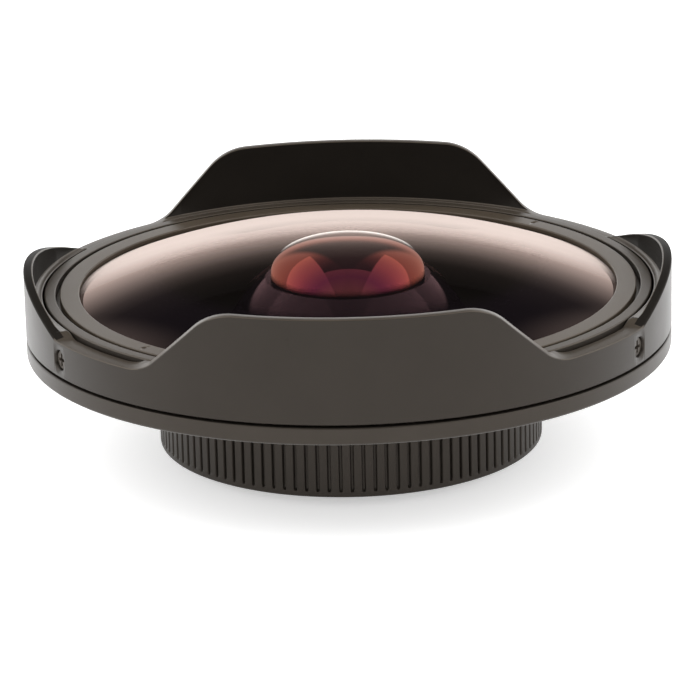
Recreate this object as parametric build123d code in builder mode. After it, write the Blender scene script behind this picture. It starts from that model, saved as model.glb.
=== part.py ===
"""Fisheye conversion lens with a petal hood, for a 43 mm filter thread.

Millimetres. +Z is the optical axis and points out of the front glass, -Y is the middle of the front petal,
and the origin is the centre of the thread's rear end, where the lens stands.
"""

import os
from math import radians, sqrt, tan

from build123d import *

# Clearances shared by all pieces
THREAD_FIT = 0.05  # radial gap in a screwed or sliding fit
EDGE_GAP = 0.10  # radial gap round the edge of a glass element
TOUCH_GAP = 0.05  # gap between a retaining ring and its glass
OVERRUN = 1.0  # how far a cutting tool passes a face

# Filter thread ring
FILTER_THREAD_R = 21.5
FILTER_THREAD_PITCH = 0.75
FILTER_THREAD_LENGTH = 4.0
FILTER_THREAD_DEPTH = 0.42
FILTER_THREAD_LAND = 0.15
FILTER_THREAD_RELIEF = 0.6
FILTER_RING_WALL = 1.6

# Rear cell
CELL_RECESS = 0.2  # the cell ends this far inside the thread ring
CELL_TUBE_WALL = 1.75
CELL_RIM_ROOM = 3.35  # room round the thread for the camera's filter rim
CELL_FLANGE_H = 2.56
CELL_LIP_OVERLAP = 1.2  # front lip over the edge of the doublet
CELL_LIP_H = 0.75
CELL_TOP_GAP = 0.15

# Knurled grip ring
THREAD_PROUD = 1.4  # the thread passes the grip ring by this much
GRIP_WALL = 1.38
GRIP_GAP = 0.6  # grip ring to the underside of the barrel
GRIP_EDGE = 0.4
RIB_COUNT = 108
RIB_GROOVE_W = 0.42
RIB_GROOVE_DEPTH = 0.45
RIB_END_BAND = 0.8

# Rear glass
REAR_LAND_W = 1.4
CROWN_FRONT_RISE = 2.34
CROWN_EDGE_H = 1.0
CEMENT_RISE = 3.03
FLINT_EDGE_H = 3.6
FLINT_BACK_RISE = 1.15
REAR_ELEMENT_EDGE_H = 0.9
REAR_ELEMENT_BACK_RISE = 0.69
SPACER_W = 1.2
STOP_H = 0.3
STOP_W = 4.55
REAR_SEAL_H = 0.3
REAR_SEAL_W = 1.2
REAR_RING_H = 1.0
REAR_RING_RECESS = 0.2
REAR_RING_W = 1.6

# Screwed joint between the rear cell and the neck of the barrel
NECK_WALL = 2.2
SHROUD_GAP = 0.25  # neck to the bore of the grip ring
ENGAGEMENT = 3.0
WASHER_H = 0.3
WASHER_GAP = 0.02
WASHER_INSET = 0.2

# Second element with its ring and seal
SECOND_STEP = 1.6  # the neck thread is this much wider than the element's seat
SECOND_LIP_H = 0.6
SECOND_LIP_W = 1.4
SECOND_SEAL_H = 0.2
SECOND_EDGE_H = 2.0
SECOND_LAND_W = 2.41
SECOND_FRONT_RISE = 15.2
SECOND_BACK_LAND_W = 5.2
SECOND_BACK_RISE = 12.5
SECOND_RING_H = 1.1
SECOND_RING_OVERLAP = 1.8
SECOND_RING_PROUD = 0.45
SLOT_W = 1.0
SLOT_DEPTH = 0.5

# Light baffle on the barrel floor
BAFFLE_H = 0.4
BAFFLE_SPACE = 0.96  # barrel floor to the back of the front element
BAFFLE_EDGE_GAP = 0.4

# Front element
GLASS_R = 37.2
DOME_RISE = 7.42
GLASS_EDGE_H = 3.4
GLASS_SEAT_W = 1.8
GLASS_BEVEL_W = 5.4
GLASS_BEVEL_H = 4.3
BOWL_RISE = 13.84
BOWL_RIM_INSET = 2.2  # the bowl is this much narrower than the second element

# Front retaining ring and seal
RING_WALL = 2.45
RING_H = 2.74
RING_LIP_H = 0.74
RING_OVERLAP = 0.66
RING_TOP_STEP = 0.55
RING_STEP_H = 1.1
RING_SEAT_GAP = 0.1
RING_EDGE = 0.12
SPANNER_HOLE_R = 0.35
SPANNER_HOLE_DEPTH = 0.6
SPANNER_HOLE_INSET = 1.46
SPANNER_HOLE_ANGLES = (-134.5, 45.5)
SEAL_H = 0.5
SEAL_W = 1.5

# Main barrel, heights above the seam between the flange and the hood
SEAM_GAP = 0.3
BARREL_RISE = 5.74
BARREL_WALL = 1.4
BARREL_EDGE = 0.45
SPIGOT_RELIEF = 0.3
SPIGOT_LIP = 0.3  # above the groove
GROOVE_DEPTH = 1.0
GROOVE_HALF = 1.0
FLANGE_H = 2.34
FLANGE_EDGE = 0.25
UNDERSIDE_LEDGE = 2.5
NECK_ROOT_W = 3.4
FLOOR_T = 2.4
CONE_GAP = 0.5  # between the bevel of the front element and the barrel

# Petal hood, heights above the seam
RIM_WALL = 2.45
PETAL_WALL = 1.3
RIM_RISE = 5.06
LEDGE_RISE = 5.75  # inside, where the wall thins to that of the petals
LONG_PETAL_RISE = 14.2
LONG_PETAL_FLAT = 14.5  # half the straight top of the front and back petals
LONG_PETAL_SHOULDER_R = 7.35
LONG_PETAL_FOOT_R = 5.0
LONG_PETAL_SLOPE = 45.0
SHORT_PETAL_RISE = 9.5
SHORT_PETAL_R = 52.0  # crown of the left and right petals
HOOD_EDGE = 0.2

# Set screws of the hood
SCREW_R = 1.3
SCREW_RISE = 2.6
SCREW_SUNK = 0.4
SCREW_POINT_R = 0.7
SCREW_POINT_GAP = 0.4  # screw point to the floor of the groove
SCREW_BODY_INSET = 0.2  # the full thread ends this far inside the hood wall
CROSS_LENGTH = 1.7
CROSS_WIDTH = 0.4
CROSS_DEPTH = 0.6
SCREW_ANGLES = (-30.0, 90.0, 210.0)


def surface(edge_z, rise, inner, outer):
    """Three points of a spherical glass surface from the axis side to its rim, for its rise at the axis."""
    radius = (outer**2 + rise**2) / (2 * abs(rise))
    way = 1 if rise > 0 else -1
    middle = (inner + outer) / 2
    sags = [radius - sqrt(radius**2 - r**2) for r in (inner, middle, outer)]
    return [(r, edge_z + rise - way * drop) for r, drop in zip((inner, middle, outer), sags)]


def section(*points):
    """Closed half section with straight sides, to be turned about the axis."""
    with BuildSketch(Plane.XZ) as half:
        with BuildLine():
            Polyline(*points, close=True)
        make_face()
    return half.sketch


def washer_section(inner, outer, low, high):
    """Half section of a flat ring."""
    return section((inner, low), (outer, low), (outer, high), (inner, high))


def spoke_plane(angle, height, distance):
    """Plane square to a radius, with its normal pointing outwards and its x direction level."""
    out = Vector(1, 0, 0).rotate(Axis.Z, angle)
    level = Vector(0, 1, 0).rotate(Axis.Z, angle)
    return Plane(origin=out * distance + Vector(0, 0, height), x_dir=level, z_dir=out)


# Radii, worked out inwards and outwards from the filter thread and outwards from the front element
CELL_TUBE_R = FILTER_THREAD_R - FILTER_RING_WALL - THREAD_FIT
REAR_BORE = CELL_TUBE_R - CELL_TUBE_WALL
REAR_GLASS_R = REAR_BORE - EDGE_GAP
REAR_LAND_R = REAR_GLASS_R - REAR_LAND_W
CELL_R = FILTER_THREAD_R + CELL_RIM_ROOM
GRIP_BORE = CELL_R + THREAD_FIT
GRIP_R = GRIP_BORE + GRIP_WALL
NECK_R = CELL_R - SHROUD_GAP
NECK_BORE = NECK_R - NECK_WALL
REAR_THREAD_R = NECK_BORE - THREAD_FIT
SECOND_BORE = NECK_BORE - SECOND_STEP
SECOND_R = SECOND_BORE - EDGE_GAP
SECOND_LAND_R = SECOND_R - SECOND_LAND_W
SECOND_BACK_RIM_R = SECOND_R - SECOND_BACK_LAND_W
BOWL_RIM_R = SECOND_R - BOWL_RIM_INSET

GLASS_SEAT_BORE = GLASS_R - GLASS_SEAT_W
GLASS_BACK_R = GLASS_SEAT_BORE - GLASS_BEVEL_W
GLASS_BORE = GLASS_R + EDGE_GAP
RING_BORE = GLASS_R - RING_OVERLAP
RING_R = GLASS_BORE + RING_WALL
RING_SEAT_BORE = RING_R + THREAD_FIT
BARREL_R = RING_SEAT_BORE + BARREL_WALL
SPIGOT_R = BARREL_R + SPIGOT_RELIEF
HOOD_BORE = SPIGOT_R + THREAD_FIT
HOOD_R = HOOD_BORE + RIM_WALL

# Heights, worked out upwards from the end of the filter thread
REAR_RING_BASE = CELL_RECESS + REAR_RING_RECESS
REAR_RING_TOP = REAR_RING_BASE + REAR_RING_H
REAR_ELEMENT_BACK_Z = REAR_RING_TOP + REAR_SEAL_H
REAR_ELEMENT_FRONT_Z = REAR_ELEMENT_BACK_Z + REAR_ELEMENT_EDGE_H
STOP_TOP = REAR_ELEMENT_FRONT_Z + STOP_H
CELL_SHOULDER = FILTER_THREAD_LENGTH + CELL_FLANGE_H
NECK_BASE = CELL_SHOULDER + WASHER_H + 2 * WASHER_GAP
NECK_THREAD_TOP = NECK_BASE + ENGAGEMENT
CELL_TOP = NECK_THREAD_TOP - CELL_TOP_GAP
CROWN_FRONT_Z = CELL_TOP - CELL_LIP_H
CEMENT_EDGE_Z = CROWN_FRONT_Z - CROWN_EDGE_H
FLINT_BACK_Z = CEMENT_EDGE_Z - FLINT_EDGE_H

SECOND_LIP_Z = NECK_THREAD_TOP + SECOND_LIP_H
SECOND_BACK_Z = SECOND_LIP_Z + SECOND_SEAL_H
SECOND_FRONT_Z = SECOND_BACK_Z + SECOND_EDGE_H
SECOND_RING_BASE = SECOND_FRONT_Z + TOUCH_GAP
SECOND_RING_TOP = SECOND_RING_BASE + SECOND_RING_H
FLOOR_Z = SECOND_RING_TOP - SECOND_RING_PROUD
NECK_ROOT_Z = FLOOR_Z - FLOOR_T
GRIP_TOP = NECK_ROOT_Z - GRIP_GAP

GLASS_BACK_Z = FLOOR_Z + BAFFLE_SPACE
GLASS_SEAT_Z = GLASS_BACK_Z + GLASS_BEVEL_H
LEDGE_Z = GLASS_SEAT_Z - SEAL_H
GLASS_EDGE_Z = GLASS_SEAT_Z + GLASS_EDGE_H
DOME_APEX = GLASS_EDGE_Z + DOME_RISE
DOME_RADIUS = (GLASS_R**2 + DOME_RISE**2) / (2 * DOME_RISE)
RING_LIP_Z = DOME_APEX - DOME_RADIUS + sqrt(DOME_RADIUS**2 - RING_BORE**2) + TOUCH_GAP
BARREL_TOP = RING_LIP_Z + RING_LIP_H
RING_BASE = BARREL_TOP - RING_H
SEAM = BARREL_TOP - BARREL_RISE
HOOD_BASE = SEAM + SEAM_GAP / 2
FLANGE_TOP = SEAM - SEAM_GAP / 2
FLANGE_BASE = FLANGE_TOP - FLANGE_H
GROOVE_Z = SEAM + SCREW_RISE
SPIGOT_TOP = GROOVE_Z + GROOVE_HALF + SPIGOT_LIP

# Petal hood: a turned tube whose top is cut away between four petals
RIM_Z = SEAM + RIM_RISE
LONG_PETAL_Z = SEAM + LONG_PETAL_RISE
SHORT_PETAL_Z = SEAM + SHORT_PETAL_RISE
PETAL_CORNER_X = LONG_PETAL_FLAT + LONG_PETAL_SHOULDER_R * tan(radians(LONG_PETAL_SLOPE / 2))
PETAL_FOOT_X = PETAL_CORNER_X + (LONG_PETAL_Z - RIM_Z) / tan(radians(LONG_PETAL_SLOPE))
CUT_REACH = HOOD_R + OVERRUN
CUT_TOP = LONG_PETAL_Z + OVERRUN

with BuildPart() as above_petals:
    with BuildSketch(Plane.XZ) as outline:
        with BuildLine():
            Polyline(
                (-CUT_REACH, RIM_Z),
                (-PETAL_FOOT_X, RIM_Z),
                (-PETAL_CORNER_X, LONG_PETAL_Z),
                (PETAL_CORNER_X, LONG_PETAL_Z),
                (PETAL_FOOT_X, RIM_Z),
                (CUT_REACH, RIM_Z),
                (CUT_REACH, CUT_TOP),
                (-CUT_REACH, CUT_TOP),
                close=True,
            )
        make_face()
        petal_points = outline.vertices().filter_by_position(Axis.X, -HOOD_R, HOOD_R)
        fillet(petal_points.group_by(Axis.Y)[-1], LONG_PETAL_SHOULDER_R)
        petal_points = outline.vertices().filter_by_position(Axis.X, -HOOD_R, HOOD_R)
        fillet(petal_points.group_by(Axis.Y)[0], LONG_PETAL_FOOT_R)
    extrude(amount=CUT_REACH, both=True)
    with BuildSketch(Plane.YZ):
        with Locations((0, SHORT_PETAL_Z - SHORT_PETAL_R)):
            Circle(SHORT_PETAL_R)
    extrude(amount=CUT_REACH + OVERRUN, both=True, mode=Mode.SUBTRACT)

with BuildPart() as petal_hood:
    revolve(
        section(
            (HOOD_BORE, HOOD_BASE),
            (HOOD_R - HOOD_EDGE, HOOD_BASE),
            (HOOD_R, HOOD_BASE + HOOD_EDGE),
            (HOOD_R, LONG_PETAL_Z),
            (HOOD_R - PETAL_WALL, LONG_PETAL_Z),
            (HOOD_R - PETAL_WALL, SEAM + LEDGE_RISE),
            (HOOD_BORE, SEAM + LEDGE_RISE),
        ),
        axis=Axis.Z,
    )
    add(above_petals.part, mode=Mode.SUBTRACT)
    for angle in SCREW_ANGLES:
        with BuildSketch(spoke_plane(angle, SEAM + SCREW_RISE, HOOD_R + OVERRUN)):
            Circle(SCREW_R + THREAD_FIT)
        extrude(amount=-(RIM_WALL + 2 * OVERRUN), mode=Mode.SUBTRACT)
petal_hood.part.label = "petal_hood"

# Hood set screws: three alike, with a cross recess outside and a plain point that runs in the groove
SCREW_FACE_R = HOOD_R - SCREW_SUNK
SCREW_BODY_END_R = HOOD_BORE + SCREW_BODY_INSET
SCREW_POINT_END_R = SPIGOT_R - GROOVE_DEPTH + SCREW_POINT_GAP

with BuildPart() as hood_set_screws:
    for angle in SCREW_ANGLES:
        with BuildSketch(spoke_plane(angle, SEAM + SCREW_RISE, SCREW_FACE_R)):
            Circle(SCREW_R)
        extrude(amount=-(SCREW_FACE_R - SCREW_BODY_END_R))
        with BuildSketch(spoke_plane(angle, SEAM + SCREW_RISE, SCREW_BODY_END_R)):
            Circle(SCREW_POINT_R)
        extrude(amount=-(SCREW_BODY_END_R - SCREW_POINT_END_R))
        with BuildSketch(spoke_plane(angle, SEAM + SCREW_RISE, SCREW_FACE_R)):
            Rectangle(CROSS_LENGTH, CROSS_WIDTH)
            Rectangle(CROSS_WIDTH, CROSS_LENGTH)
        extrude(amount=-CROSS_DEPTH, mode=Mode.SUBTRACT)
hood_set_screws.part.label = "hood_set_screws"

# Main barrel: flange, spigot for the hood, cup for the front element and neck for the rear cell
CONE_TOP_R = GLASS_SEAT_BORE + CONE_GAP
CONE_FOOT_R = GLASS_BACK_R + CONE_GAP

with BuildPart() as main_barrel:
    revolve(
        section(
            (NECK_BORE, NECK_BASE),
            (NECK_R, NECK_BASE),
            (NECK_R, NECK_ROOT_Z),
            (NECK_R + NECK_ROOT_W, NECK_ROOT_Z),
            (HOOD_R - UNDERSIDE_LEDGE, FLANGE_BASE),
            (HOOD_R - FLANGE_EDGE, FLANGE_BASE),
            (HOOD_R, FLANGE_BASE + FLANGE_EDGE),
            (HOOD_R, FLANGE_TOP - FLANGE_EDGE),
            (HOOD_R - FLANGE_EDGE, FLANGE_TOP),
            (SPIGOT_R, FLANGE_TOP),
            (SPIGOT_R, GROOVE_Z - GROOVE_HALF),
            (SPIGOT_R - GROOVE_DEPTH, GROOVE_Z - GROOVE_HALF),
            (SPIGOT_R - GROOVE_DEPTH, GROOVE_Z + GROOVE_HALF),
            (SPIGOT_R, GROOVE_Z + GROOVE_HALF),
            (SPIGOT_R, SPIGOT_TOP),
            (BARREL_R, SPIGOT_TOP + SPIGOT_RELIEF),
            (BARREL_R, BARREL_TOP - BARREL_EDGE),
            (BARREL_R - BARREL_EDGE, BARREL_TOP),
            (RING_SEAT_BORE, BARREL_TOP),
            (RING_SEAT_BORE, RING_BASE - RING_SEAT_GAP),
            (GLASS_BORE, RING_BASE - RING_SEAT_GAP),
            (GLASS_BORE, LEDGE_Z),
            (CONE_TOP_R, LEDGE_Z),
            (CONE_FOOT_R, FLOOR_Z),
            (SECOND_BORE, FLOOR_Z),
            (SECOND_BORE, SECOND_LIP_Z),
            (SECOND_BORE - SECOND_LIP_W, SECOND_LIP_Z),
            (SECOND_BORE - SECOND_LIP_W, NECK_THREAD_TOP),
            (NECK_BORE, NECK_THREAD_TOP),
        ),
        axis=Axis.Z,
    )
main_barrel.part.label = "main_barrel"

# Front retaining ring: screwed into the barrel over the edge of the front element
with BuildPart() as front_retaining_ring:
    revolve(
        section(
            (GLASS_BORE, RING_BASE),
            (RING_R, RING_BASE),
            (RING_R, BARREL_TOP - RING_STEP_H),
            (RING_R - RING_TOP_STEP, BARREL_TOP - RING_STEP_H),
            (RING_R - RING_TOP_STEP, BARREL_TOP - RING_EDGE),
            (RING_R - RING_TOP_STEP - RING_EDGE, BARREL_TOP),
            (RING_BORE + RING_EDGE, BARREL_TOP),
            (RING_BORE, BARREL_TOP - RING_EDGE),
            (RING_BORE, RING_LIP_Z),
            (GLASS_BORE, RING_LIP_Z),
        ),
        axis=Axis.Z,
    )
    for angle in SPANNER_HOLE_ANGLES:
        with BuildSketch(Plane.XY.offset(BARREL_TOP)):
            with PolarLocations(RING_BORE + SPANNER_HOLE_INSET, 1, angle):
                Circle(SPANNER_HOLE_R)
        extrude(amount=-SPANNER_HOLE_DEPTH, mode=Mode.SUBTRACT)
front_retaining_ring.part.label = "front_retaining_ring"

# Front element: a large dome in front, a deep bowl behind
with BuildPart() as front_element:
    with BuildSketch(Plane.XZ):
        with BuildLine():
            ThreePointArc(*surface(GLASS_EDGE_Z, DOME_RISE, 0, GLASS_R))
            Polyline(
                (GLASS_R, GLASS_EDGE_Z),
                (GLASS_R, GLASS_SEAT_Z),
                (GLASS_SEAT_BORE, GLASS_SEAT_Z),
                (GLASS_BACK_R, GLASS_BACK_Z),
                (BOWL_RIM_R, GLASS_BACK_Z),
            )
            ThreePointArc(*surface(GLASS_BACK_Z, BOWL_RISE, 0, BOWL_RIM_R))
            Line((0, GLASS_BACK_Z + BOWL_RISE), (0, DOME_APEX))
        make_face()
    revolve(axis=Axis.Z)
front_element.part.label = "front_element"

# Front seal ring: a flat gasket under the edge of the front element
with BuildPart() as front_seal_ring:
    revolve(washer_section(GLASS_R - SEAL_W, GLASS_R, LEDGE_Z, GLASS_SEAT_Z), axis=Axis.Z)
front_seal_ring.part.label = "front_seal_ring"

# Light baffle: a black mask on the barrel floor, round the second element
with BuildPart() as light_baffle:
    revolve(
        washer_section(
            SECOND_BORE + BAFFLE_EDGE_GAP,
            GLASS_BACK_R - BAFFLE_EDGE_GAP,
            FLOOR_Z,
            FLOOR_Z + BAFFLE_H,
        ),
        axis=Axis.Z,
    )
light_baffle.part.label = "light_baffle"

# Second element: a steep meniscus that nests in the bowl of the first
with BuildPart() as second_element:
    with BuildSketch(Plane.XZ):
        with BuildLine():
            ThreePointArc(*surface(SECOND_FRONT_Z, SECOND_FRONT_RISE, 0, SECOND_LAND_R))
            Polyline(
                (SECOND_LAND_R, SECOND_FRONT_Z),
                (SECOND_R, SECOND_FRONT_Z),
                (SECOND_R, SECOND_BACK_Z),
                (SECOND_BACK_RIM_R, SECOND_BACK_Z),
            )
            ThreePointArc(*surface(SECOND_BACK_Z, SECOND_BACK_RISE, 0, SECOND_BACK_RIM_R))
            Line((0, SECOND_BACK_Z + SECOND_BACK_RISE), (0, SECOND_FRONT_Z + SECOND_FRONT_RISE))
        make_face()
    revolve(axis=Axis.Z)
second_element.part.label = "second_element"

# Second seal ring: a thin gasket on the lip under the second element
with BuildPart() as second_seal_ring:
    revolve(
        washer_section(SECOND_BORE - SECOND_LIP_W, SECOND_R, SECOND_LIP_Z, SECOND_BACK_Z),
        axis=Axis.Z,
    )
second_seal_ring.part.label = "second_seal_ring"

# Second retaining ring: screwed in over the second element, with two spanner slots
SECOND_RING_R = SECOND_BORE - THREAD_FIT

with BuildPart() as second_retaining_ring:
    revolve(
        washer_section(SECOND_R - SECOND_RING_OVERLAP, SECOND_RING_R, SECOND_RING_BASE, SECOND_RING_TOP),
        axis=Axis.Z,
    )
    with BuildSketch(Plane.XY.offset(SECOND_RING_TOP)):
        Rectangle(2 * (SECOND_RING_R + OVERRUN), SLOT_W)
    extrude(amount=-SLOT_DEPTH, mode=Mode.SUBTRACT)
second_retaining_ring.part.label = "second_retaining_ring"

# Slip washer: lies between the neck and the rear cell, and rides down with the cell without turning
with BuildPart() as slip_washer:
    revolve(
        washer_section(
            NECK_BORE + WASHER_INSET,
            NECK_R - WASHER_INSET,
            NECK_BASE - WASHER_GAP - WASHER_H,
            NECK_BASE - WASHER_GAP,
        ),
        axis=Axis.Z,
    )
slip_washer.part.label = "slip_washer"

# Rear cell: screwed into the neck, holds the rear glass and carries the grip ring and the filter thread
with BuildPart() as rear_cell:
    revolve(
        section(
            (REAR_BORE, CELL_RECESS),
            (CELL_TUBE_R, CELL_RECESS),
            (CELL_TUBE_R, FILTER_THREAD_LENGTH),
            (CELL_R, FILTER_THREAD_LENGTH),
            (CELL_R, CELL_SHOULDER),
            (REAR_THREAD_R, CELL_SHOULDER),
            (REAR_THREAD_R, CELL_TOP),
            (REAR_GLASS_R - CELL_LIP_OVERLAP, CELL_TOP),
            (REAR_GLASS_R - CELL_LIP_OVERLAP, CROWN_FRONT_Z),
            (REAR_BORE, CROWN_FRONT_Z),
        ),
        axis=Axis.Z,
    )
rear_cell.part.label = "rear_cell"

# Filter thread ring: each turn of the thread is drawn as a closed groove
THREAD_ROOT_R = FILTER_THREAD_R - FILTER_THREAD_DEPTH
THREAD_TURNS = int((FILTER_THREAD_LENGTH - FILTER_THREAD_RELIEF) / FILTER_THREAD_PITCH)
thread_points = [(CELL_TUBE_R + THREAD_FIT, 0)]
for turn in range(THREAD_TURNS):
    crest = turn * FILTER_THREAD_PITCH
    thread_points.append((FILTER_THREAD_R, crest))
    thread_points.append((FILTER_THREAD_R, crest + FILTER_THREAD_LAND))
    thread_points.append((THREAD_ROOT_R, crest + (FILTER_THREAD_LAND + FILTER_THREAD_PITCH) / 2))
last_crest = THREAD_TURNS * FILTER_THREAD_PITCH
thread_points.append((FILTER_THREAD_R, last_crest))
thread_points.append((FILTER_THREAD_R, last_crest + FILTER_THREAD_LAND))
thread_points.append((THREAD_ROOT_R, last_crest + FILTER_THREAD_LAND + FILTER_THREAD_DEPTH))
thread_points.append((THREAD_ROOT_R, FILTER_THREAD_LENGTH))
thread_points.append((CELL_TUBE_R + THREAD_FIT, FILTER_THREAD_LENGTH))

with BuildPart() as filter_thread_ring:
    revolve(section(*thread_points), axis=Axis.Z)
filter_thread_ring.part.label = "filter_thread_ring"

# Knurled grip ring: sleeve on the rear cell that also shrouds the neck and the root of the thread
with BuildPart() as knurled_grip_ring:
    revolve(
        section(
            (GRIP_BORE, THREAD_PROUD),
            (GRIP_R - GRIP_EDGE, THREAD_PROUD),
            (GRIP_R, THREAD_PROUD + GRIP_EDGE),
            (GRIP_R, GRIP_TOP - GRIP_EDGE),
            (GRIP_R - GRIP_EDGE, GRIP_TOP),
            (GRIP_BORE, GRIP_TOP),
        ),
        axis=Axis.Z,
    )
    with BuildSketch(Plane.XY.offset(THREAD_PROUD + RIB_END_BAND)):
        with PolarLocations(GRIP_R, RIB_COUNT):
            Rectangle(2 * RIB_GROOVE_DEPTH, RIB_GROOVE_W)
    extrude(amount=GRIP_TOP - THREAD_PROUD - 2 * RIB_END_BAND, mode=Mode.SUBTRACT)
knurled_grip_ring.part.label = "knurled_grip_ring"

# Rear doublet: a crown cemented to a flint along one shared surface
CROWN_APEX = CROWN_FRONT_Z + CROWN_FRONT_RISE
CEMENT_APEX = CEMENT_EDGE_Z - CEMENT_RISE
FLINT_APEX = FLINT_BACK_Z - FLINT_BACK_RISE

with BuildPart() as rear_crown_element:
    with BuildSketch(Plane.XZ):
        with BuildLine():
            ThreePointArc(*surface(CROWN_FRONT_Z, CROWN_FRONT_RISE, 0, REAR_LAND_R))
            Polyline(
                (REAR_LAND_R, CROWN_FRONT_Z),
                (REAR_GLASS_R, CROWN_FRONT_Z),
                (REAR_GLASS_R, CEMENT_EDGE_Z),
            )
            ThreePointArc(*surface(CEMENT_EDGE_Z, -CEMENT_RISE, 0, REAR_GLASS_R))
            Line((0, CEMENT_APEX), (0, CROWN_APEX))
        make_face()
    revolve(axis=Axis.Z)
rear_crown_element.part.label = "rear_crown_element"

with BuildPart() as rear_flint_element:
    with BuildSketch(Plane.XZ):
        with BuildLine():
            ThreePointArc(*surface(CEMENT_EDGE_Z, -CEMENT_RISE, 0, REAR_GLASS_R))
            Polyline(
                (REAR_GLASS_R, CEMENT_EDGE_Z),
                (REAR_GLASS_R, FLINT_BACK_Z),
                (REAR_LAND_R, FLINT_BACK_Z),
            )
            ThreePointArc(*surface(FLINT_BACK_Z, -FLINT_BACK_RISE, 0, REAR_LAND_R))
            Line((0, FLINT_APEX), (0, CEMENT_APEX))
        make_face()
    revolve(axis=Axis.Z)
rear_flint_element.part.label = "rear_flint_element"

# Element spacer: takes up what is left between the doublet and the stop
SPACER_R = REAR_BORE - THREAD_FIT

with BuildPart() as element_spacer:
    revolve(washer_section(SPACER_R - SPACER_W, SPACER_R, STOP_TOP, FLINT_BACK_Z), axis=Axis.Z)
element_spacer.part.label = "element_spacer"

# Aperture stop: a thin disc in front of the rear element
with BuildPart() as aperture_stop:
    revolve(washer_section(SPACER_R - STOP_W, SPACER_R, REAR_ELEMENT_FRONT_Z, STOP_TOP), axis=Axis.Z)
aperture_stop.part.label = "aperture_stop"

# Rear element: flat in front, slightly domed behind
REAR_APEX = REAR_ELEMENT_BACK_Z - REAR_ELEMENT_BACK_RISE

with BuildPart() as rear_element:
    with BuildSketch(Plane.XZ):
        with BuildLine():
            Polyline(
                (0, REAR_APEX),
                (0, REAR_ELEMENT_FRONT_Z),
                (REAR_GLASS_R, REAR_ELEMENT_FRONT_Z),
                (REAR_GLASS_R, REAR_ELEMENT_BACK_Z),
                (REAR_LAND_R, REAR_ELEMENT_BACK_Z),
            )
            ThreePointArc(*surface(REAR_ELEMENT_BACK_Z, -REAR_ELEMENT_BACK_RISE, 0, REAR_LAND_R))
        make_face()
    revolve(axis=Axis.Z)
rear_element.part.label = "rear_element"

# Rear seal ring between the rear element and its ring
with BuildPart() as rear_seal_ring:
    revolve(
        washer_section(REAR_GLASS_R - REAR_SEAL_W, REAR_GLASS_R, REAR_RING_TOP, REAR_ELEMENT_BACK_Z),
        axis=Axis.Z,
    )
rear_seal_ring.part.label = "rear_seal_ring"

# Rear retaining ring: closes the rear cell, with two spanner slots in its rear face
with BuildPart() as rear_retaining_ring:
    revolve(
        washer_section(SPACER_R - REAR_RING_W, SPACER_R, REAR_RING_BASE, REAR_RING_TOP),
        axis=Axis.Z,
    )
    with BuildSketch(Plane.XY.offset(REAR_RING_BASE)):
        Rectangle(2 * (SPACER_R + OVERRUN), SLOT_W)
    extrude(amount=SLOT_DEPTH, mode=Mode.SUBTRACT)
rear_retaining_ring.part.label = "rear_retaining_ring"

# Write every piece
os.makedirs("parts", exist_ok=True)
for piece in (
    petal_hood,
    hood_set_screws,
    main_barrel,
    front_retaining_ring,
    front_element,
    front_seal_ring,
    light_baffle,
    second_element,
    second_seal_ring,
    second_retaining_ring,
    slip_washer,
    rear_cell,
    filter_thread_ring,
    knurled_grip_ring,
    rear_crown_element,
    rear_flint_element,
    element_spacer,
    aperture_stop,
    rear_element,
    rear_seal_ring,
    rear_retaining_ring,
):
    export_step(piece.part, f"parts/{piece.part.label}.step")
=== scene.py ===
"""Looks of the fisheye lens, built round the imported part. Metres, in the part's own frame:
+Z is the optical axis, -Y the middle of the front petal, and the lens stands on z = 0."""

from math import acos, atan2, cos, hypot, pi, radians, sin, sqrt, tan

import bmesh
import bpy
from mathutils import Matrix, Vector


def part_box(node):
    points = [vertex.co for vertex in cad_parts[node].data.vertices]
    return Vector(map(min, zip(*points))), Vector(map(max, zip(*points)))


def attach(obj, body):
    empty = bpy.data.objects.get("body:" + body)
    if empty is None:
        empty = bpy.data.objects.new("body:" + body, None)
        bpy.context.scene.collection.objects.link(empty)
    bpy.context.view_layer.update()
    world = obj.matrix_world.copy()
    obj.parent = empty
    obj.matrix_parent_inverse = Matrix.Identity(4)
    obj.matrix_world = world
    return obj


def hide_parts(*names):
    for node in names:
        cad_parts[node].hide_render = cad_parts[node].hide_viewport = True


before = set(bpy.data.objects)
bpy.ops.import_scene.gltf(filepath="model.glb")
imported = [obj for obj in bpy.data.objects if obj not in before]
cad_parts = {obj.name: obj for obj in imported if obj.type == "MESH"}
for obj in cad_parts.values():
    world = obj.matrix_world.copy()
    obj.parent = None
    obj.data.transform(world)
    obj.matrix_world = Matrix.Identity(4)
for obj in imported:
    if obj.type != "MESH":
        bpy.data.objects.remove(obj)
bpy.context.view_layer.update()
MM = 0.001
AXIS = Vector((0, 0, 1))
scene = bpy.context.scene

# Sizes read from the frame
HOOD_LOW, HOOD_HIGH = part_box("petal_hood")
BARREL_LOW, BARREL_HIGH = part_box("main_barrel")
RING_LOW, RING_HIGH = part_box("front_retaining_ring")
GLASS_LOW, GLASS_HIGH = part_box("front_element")
SEAL_LOW, SEAL_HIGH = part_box("front_seal_ring")
SECOND_LOW, SECOND_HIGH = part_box("second_element")
CELL_LOW, CELL_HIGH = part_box("rear_cell")
GRIP_LOW, GRIP_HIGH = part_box("knurled_grip_ring")
THREAD_LOW, THREAD_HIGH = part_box("filter_thread_ring")
BAFFLE_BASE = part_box("light_baffle")[0].z
SECOND_RING_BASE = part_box("second_retaining_ring")[0].z
SECOND_SEAL_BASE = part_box("second_seal_ring")[0].z

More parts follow.
